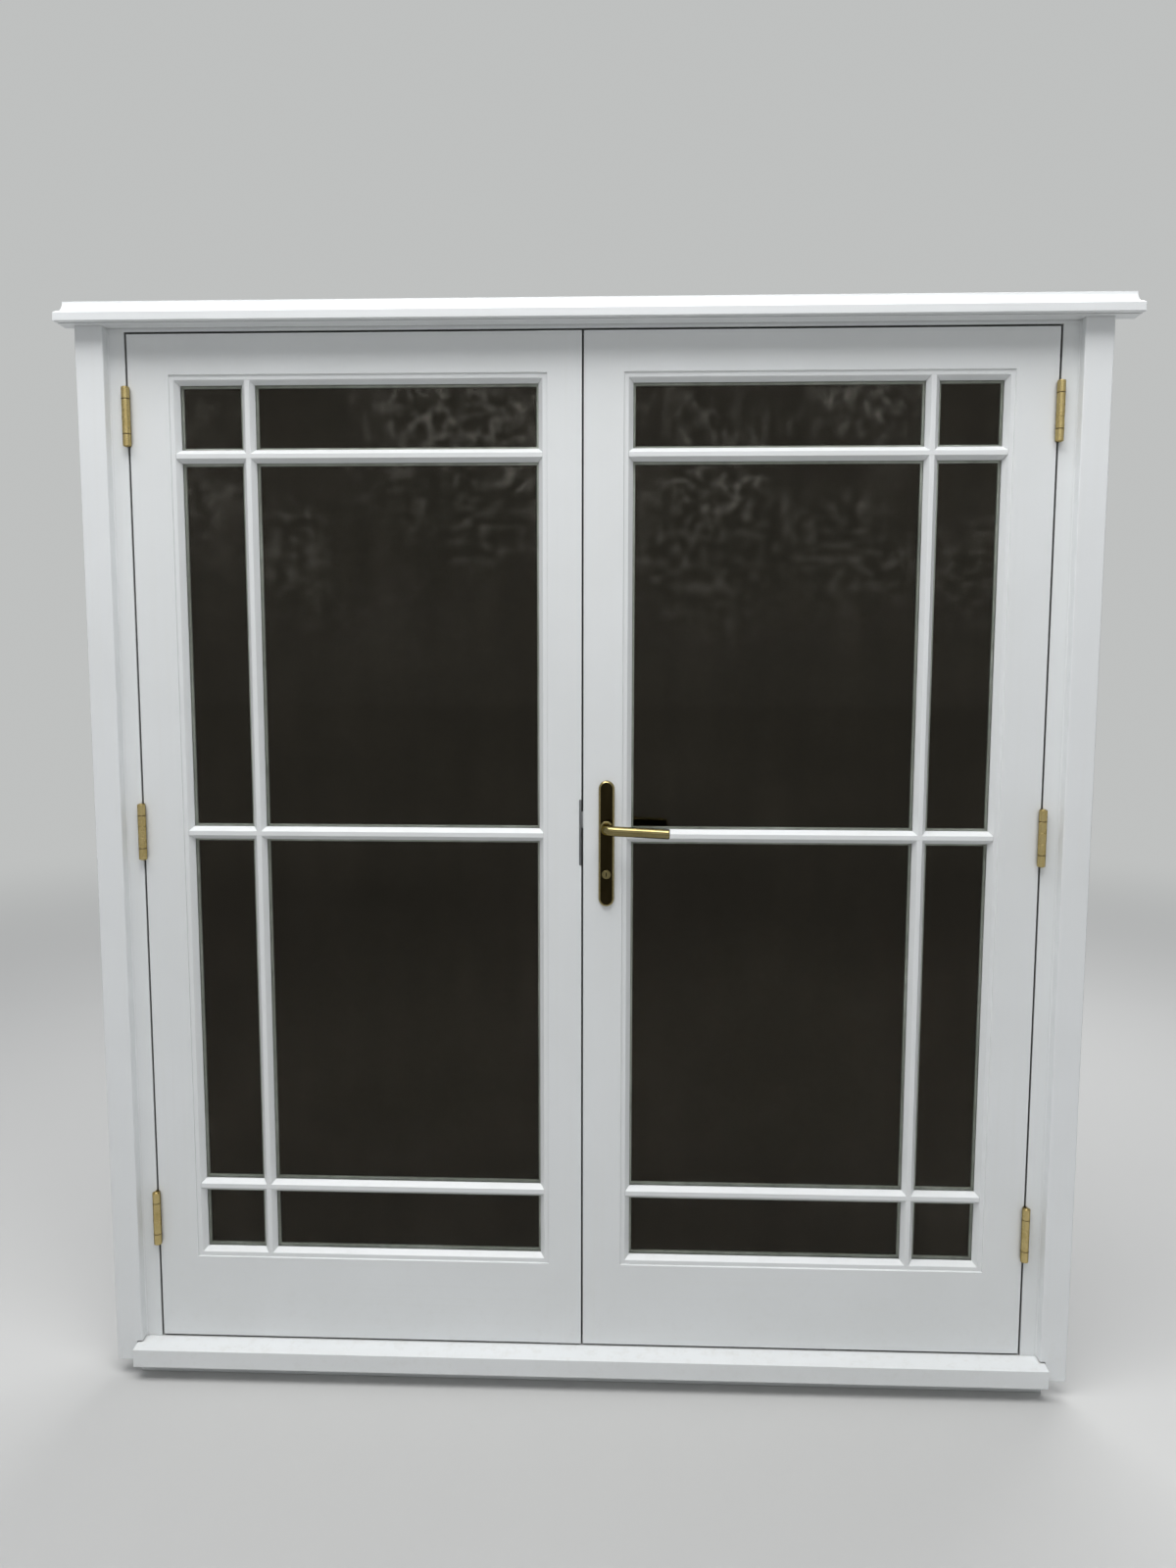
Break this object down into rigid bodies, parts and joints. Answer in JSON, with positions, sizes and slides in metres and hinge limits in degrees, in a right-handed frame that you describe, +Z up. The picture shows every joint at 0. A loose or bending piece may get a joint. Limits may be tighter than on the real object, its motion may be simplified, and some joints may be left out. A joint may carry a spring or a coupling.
{
  "type": "french doors",
  "caption": "Pair of outward-opening glazed timber french doors in a painted frame, with drip mould, sill, cover trims, butt hinges and lever lock.",
  "frame": {"origin": "middle of the sill's underside, on the plane of the outer face of the jambs and leaves", "axes": "+Z up, +X to the right when seen from outside, -Y towards the outside"},
  "size_m": [1.971, 0.189, 2.113],
  "materials": {
    "painted_timber": "satin white paint on timber",
    "painted_trim": "satin white paint on timber boards",
    "pane_glass": "clear sealed unit glass",
    "spacer": "matt grey spacer bar",
    "polished_brass": "polished brass",
    "hinge_brass": "satin brass",
    "lock_steel": "zinc plated steel",
    "case_steel": "pressed steel sheet",
    "seal_rubber": "matt black seal"
  },
  "bodies": {
    "frame": {"left_jamb": "painted_timber", "right_jamb": "painted_timber", "frame_head": "painted_timber", "sill": "painted_timber", "left_cover_trim": "painted_trim", "right_cover_trim": "painted_trim", "head_drip_mould": "painted_trim", "frame_weather_seals": "seal_rubber", "hinge_frame_leaves": "hinge_brass", "frame_hinge_screws": "hinge_brass", "hinge_pins": "hinge_brass", "hinge_washers": "lock_steel", "flush_bolt_keeps": "lock_steel"},
    "right_door": {"right_hinge_stile": "painted_timber", "right_meeting_stile": "painted_timber", "right_bottom_rail": "painted_timber", "right_top_rail": "painted_timber", "right_lower_bar": "painted_timber", "right_middle_bar": "painted_timber", "right_upper_bar": "painted_timber", "right_vertical_bars": "painted_timber", "right_outer_glass": "pane_glass", "right_glass_spacers": "spacer", "right_inner_glass": "pane_glass", "right_glazing_beads": "painted_timber", "right_hinge_leaves": "hinge_brass", "right_hinge_screws": "hinge_brass", "outside_backplate": "polished_brass", "inside_backplate": "polished_brass", "backplate_screws": "polished_brass", "lock_cases": "case_steel", "lock_faceplate": "lock_steel", "cylinder_body": "polished_brass"},
    "left_door": {"left_hinge_stile": "painted_timber", "left_meeting_stile": "painted_timber", "left_bottom_rail": "painted_timber", "left_top_rail": "painted_timber", "left_lower_bar": "painted_timber", "left_middle_bar": "painted_timber", "left_upper_bar": "painted_timber", "left_vertical_bars": "painted_timber", "left_outer_glass": "pane_glass", "left_glass_spacers": "spacer", "left_inner_glass": "pane_glass", "left_glazing_beads": "painted_timber", "left_hinge_leaves": "hinge_brass", "left_hinge_screws": "hinge_brass", "lock_keeps": "lock_steel", "flush_bolt_bodies": "lock_steel", "meeting_seal": "seal_rubber"},
    "lever_set": {"outside_lever": "polished_brass", "inside_lever": "polished_brass", "spindle": "lock_steel", "lock_follower": "lock_steel"},
    "latch": {"latch_bolt": "lock_steel"},
    "key_plug": {"cylinder_plug": "polished_brass"},
    "lock_bolts": {"dead_bolt": "lock_steel", "multipoint_bolts": "lock_steel"},
    "top_flush": {"top_flush_bolt": "lock_steel"},
    "bottom_flush": {"bottom_flush_bolt": "lock_steel"}
  },
  "joints": [
    {"name": "right_door_swing", "type": "hinge", "parent": "frame", "child": "right_door", "pos_m": [0.86575, -0.008, 1.0665], "axis": [0, 0, 1], "range_deg": [0, 160]},
    {"name": "left_door_swing", "type": "hinge", "parent": "frame", "child": "left_door", "pos_m": [-0.86575, -0.008, 1.0665], "axis": [0, 0, 1], "range_deg": [-160, 0]},
    {"name": "lever_turn", "type": "hinge", "parent": "right_door", "child": "lever_set", "pos_m": [0.03975, 0, 1.132], "axis": [0, 1, 0], "range_deg": [0, 36], "stiffness_Nm_per_rad": 2, "springref_deg": -17.19},
    {"name": "latch_slide", "type": "slide", "parent": "right_door", "child": "latch", "axis": [1, 0, 0], "range_m": [0, 0.0118]},
    {"name": "key_plug_turn", "type": "hinge", "parent": "right_door", "child": "key_plug", "pos_m": [0.03975, 0, 1.04], "axis": [0, 1, 0], "range_deg": [0, 360]},
    {"name": "lock_bolts_slide", "type": "slide", "parent": "right_door", "child": "lock_bolts", "axis": [-1, 0, 0], "range_m": [0, 0.02]},
    {"name": "top_flush_bolt_slide", "type": "slide", "parent": "left_door", "child": "top_flush", "axis": [0, 0, 1], "range_m": [0, 0.018]},
    {"name": "bottom_flush_bolt_slide", "type": "slide", "parent": "left_door", "child": "bottom_flush", "axis": [0, 0, -1], "range_m": [0, 0.018]}
  ],
  "couplings": [
    {"joint": "left_door_swing", "follows": "right_door_swing", "ratio": -1},
    {"joint": "latch_slide", "follows": "lever_turn", "m_per_rad": 0.018621}
  ]
}
